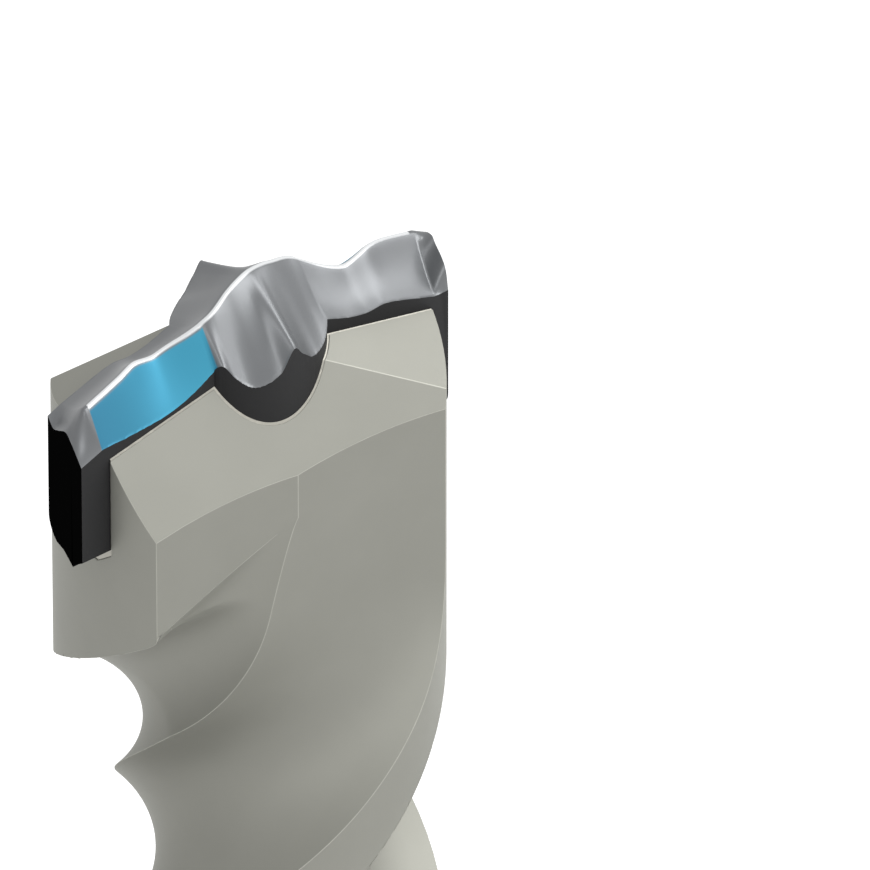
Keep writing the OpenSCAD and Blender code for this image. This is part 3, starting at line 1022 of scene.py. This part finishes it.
    def grooves(self) -> Object:
        """Tools for the three drive grooves and the two locking grooves, as one object."""
        floor = self.shank_d / 2 - self.drive_depth
        far = floor + self.drive_runout
        turn = np.linspace(180, 90, 19)
        arc = polar(np.full_like(turn, self.drive_runout), turn)
        side = np.concatenate([[[far, -2.0], [floor, -2.0]], arc + [far, self.drive_len - self.drive_runout]])
        drive = np.stack([side[:, 0], np.zeros(len(side)), side[:, 1]], axis=1)
        turn = np.linspace(0, 180, 33)
        half = polar(np.full_like(turn, self.lock_w / 2), turn)
        low, high = self.lock_from + self.lock_w / 2, self.lock_from + self.lock_len - self.lock_w / 2
        ring = np.concatenate([half + [0, high], -half + [0, low]])
        lock = np.stack([np.zeros(len(ring)), ring[:, 0], ring[:, 1]], axis=1)
        across, inner = [0, self.drive_w / 2, 0], [self.shank_d / 2 - self.lock_depth, 0, 0]
        outlines = [(drive + across, drive - across, at) for at in self.drive_at]
        outlines += [(lock + inner, lock + [self.shank_d, 0, 0], at) for at in (0, 180)]
        tools = []
        for first, second, at in outlines:
            c, s = math.cos(math.radians(at)), math.sin(math.radians(at))
            turned = np.array([[c, s, 0], [-s, c, 0], [0, 0, 1]])
            tool = bridged("groove", first, second)
            tool.data.vertices.foreach_set("co", (corners(tool.data) @ turned).ravel())
            turned_out(tool)
            tools.append(tool)
        return self.gathered(tools)

    @staticmethod
    def gathered(tools: list[Object]) -> Object:
        """Several separate tools as one object."""
        first, *others = tools
        with editing(first.data) as shape:
            for tool in others:
                shape.from_mesh(tool.data)
        for tool in others:
            discard(tool)
        return first

    def build(self, head: CarbideHead, steel: Material, edge: Material) -> Object:
        """The finished body, with the slot for the carbide head.

        Args:
            head: the head that the slot is milled for.
            steel: finish of the surfaces.
            edge: finish of the broken edges, painted lighter as a highlight.

        Returns:
            The piece, which stands for the CAD's steel_body.
        """
        piece = self.skin()
        slot = head.blank("slot", self.slot_gap, self.hub_gap, self.slot_fillet, self.body_d)
        carve(piece, slot, Joining.CUT)
        carve(piece, self.grooves(), Joining.CUT)
        piece.data.materials.clear()
        piece.data.materials.append(steel)
        piece.data.materials.append(edge)
        # The flats of the broken edges take the second material, a painted highlight
        Deburring().apply(piece, material=1)
        in_metres(piece)
        smooth_below(piece.data, self.crisp_angle)
        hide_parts("steel_body")
        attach(piece, "root")
        return piece


@dataclass
class Studio:
    """Plain pale floor, soft lamps, and the camera at the picture's angle."""

    place: HeadPlace = field(default_factory=HeadPlace)
    azimuth: float = -33.95
    elevation: float = 44.38
    # The middle of the picture lies this far right of the datum point and below it
    aim_right: float = 10.114
    aim_down: float = 2.657
    frame_width: float = 47.18
    lens: float = 1400.0
    sky: float = 0.4
    floor_size: float = 6000.0
    floor_colour: tuple[float, float, float, float] = (0.8, 0.8, 0.8, 1.0)
    # Added where the camera or a gloss sees the floor, so that it is white there
    floor_glow: float = 0.45
    # Name, place from the head, length of a side, and watts
    lamps: tuple[tuple[str, tuple[float, float, float], float, float], ...] = (
        ("key_lamp", (350, -610, 710), 780, 9.4),
        ("top_lamp", (-60, 0, 900), 240, 2.0),
        ("side_lamp", (840, -270, 470), 440, 2.0),
        ("left_lamp", (-890, -330, 310), 400, 1.5),
    )

    def camera(self) -> None:
        """Sets the camera, far away behind a long lens, as the picture is drawn
        nearly without perspective."""
        a, e = math.radians(self.azimuth), math.radians(self.elevation)
        back = Vector((math.sin(a) * math.cos(e), -math.cos(a) * math.cos(e), math.sin(e)))
        right = Vector((math.cos(a), math.sin(a), 0))
        up = back.cross(right)
        aim = Vector((0, 0, self.place.datum)) + right * self.aim_right - up * self.aim_down
        data = bpy.data.cameras.new("camera")
        data.lens = self.lens
        distance = self.lens * self.frame_width / data.sensor_width
        data.clip_start, data.clip_end = 0.1, 20.0
        camera = bpy.data.objects.new("camera", data)
        camera.location = (aim + back * distance) * MM
        camera.rotation_mode = "QUATERNION"
        camera.rotation_quaternion = (-back).to_track_quat("-Z", "Y")
        bpy.context.scene.collection.objects.link(camera)
        bpy.context.scene.camera = camera

    def world(self) -> None:
        """Lights all round evenly, and shows white to the camera, to gloss and to glass."""
        world = bpy.data.worlds.new("studio")
        bpy.context.scene.world = world
        world.use_nodes = True
        tree = world.node_tree
        tree.nodes.clear()
        rays = add_node(tree, "ShaderNodeLightPath")
        seen = reckoned(tree, "MAXIMUM", rays.outputs["Is Camera Ray"], rays.outputs["Is Glossy Ray"])
        shown = reckoned(tree, "MAXIMUM", seen, rays.outputs["Is Transmission Ray"])
        soft = add_node(tree, "ShaderNodeBackground", {"Color": WHITE, "Strength": self.sky})
        white = add_node(tree, "ShaderNodeBackground", {"Color": WHITE, "Strength": 1.0})
        mix = add_node(tree, "ShaderNodeMixShader", {0: shown, 1: soft.outputs[0], 2: white.outputs[0]})
        add_node(tree, "ShaderNodeOutputWorld", {"Surface": mix.outputs[0]})

    def floor(self) -> None:
        """A plain pale floor that the bit stands on and whose shadow it keeps."""
        half = self.floor_size / 2
        points = np.array([[-half, -half, 0], [half, -half, 0], [half, half, 0], [-half, half, 0]])
        piece = make_piece("floor", points, [[0, 1, 2, 3]])
        in_metres(piece)
        material, tree = new_material("pale_floor")
        rays = add_node(tree, "ShaderNodeLightPath")
        seen = reckoned(tree, "MAXIMUM", rays.outputs["Is Camera Ray"], rays.outputs["Is Glossy Ray"])
        matte = add_node(tree, "ShaderNodeBsdfDiffuse", {"Color": self.floor_colour})
        glow = add_node(tree, "ShaderNodeEmission", {"Color": WHITE, "Strength": self.floor_glow})
        both = add_node(tree, "ShaderNodeAddShader", {0: matte.outputs[0], 1: glow.outputs[0]})
        mix = add_node(tree, "ShaderNodeMixShader", {0: seen, 1: matte.outputs[0], 2: both.outputs[0]})
        add_node(tree, "ShaderNodeOutputMaterial", {"Surface": mix.outputs[0]})
        piece.data.materials.append(material)

    def lamp(self, name: str, at: tuple[float, float, float], size: float, power: float) -> None:
        """A square soft lamp at a place from the head, turned to face it.

        Args:
            name: the lamp's name.
            at: where it hangs, from the head's datum point.
            size: length of its sides.
            power: its power in watts.
        """
        data = bpy.data.lights.new(name, "AREA")
        data.size = size * MM
        data.energy = power
        head = Vector((0, 0, self.place.datum))
        lamp = bpy.data.objects.new(name, data)
        lamp.location = (head + Vector(at)) * MM
        lamp.rotation_mode = "QUATERNION"
        lamp.rotation_quaternion = (-Vector(at)).to_track_quat("-Z", "Y")
        bpy.context.scene.collection.objects.link(lamp)

    def build(self) -> None:
        """The camera, the world, the floor and the lamps."""
        self.camera()
        self.world()
        self.floor()
        for lamp in self.lamps:
            self.lamp(*lamp)
        bpy.context.scene.view_settings.view_transform = "Standard"


def main() -> None:
    """Builds the pieces in order and reports each one."""
    logging.basicConfig(level=logging.INFO, format="%(message)s")
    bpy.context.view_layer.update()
    place = HeadPlace()
    Studio(place).build()
    head = CarbideHead(place)
    # Painted shade: the end faces get a near-black copy of the sintered carbide with no shine, so that they
    # look in shade
    ends = SinteredCarbide(colour="#080808", sheen=0.0)
    carbide = head.build(GroundCarbide().material(), SinteredCarbide().material(), ends.material())
    log.info("carbide head: %d faces", len(carbide.data.polygons))
    body = SteelBody(place).build(head, BlastedSteel().material(), PaintedEdgeHighlight().material())
    log.info("steel body: %d faces", len(body.data.polygons))
    braze = frame["nodes"]["braze_seam"]
    braze.data.materials.clear()
    braze.data.materials.append(SilverBraze().material())
    log.info("braze seam: dressed")


if __name__ == "__main__":
    main()
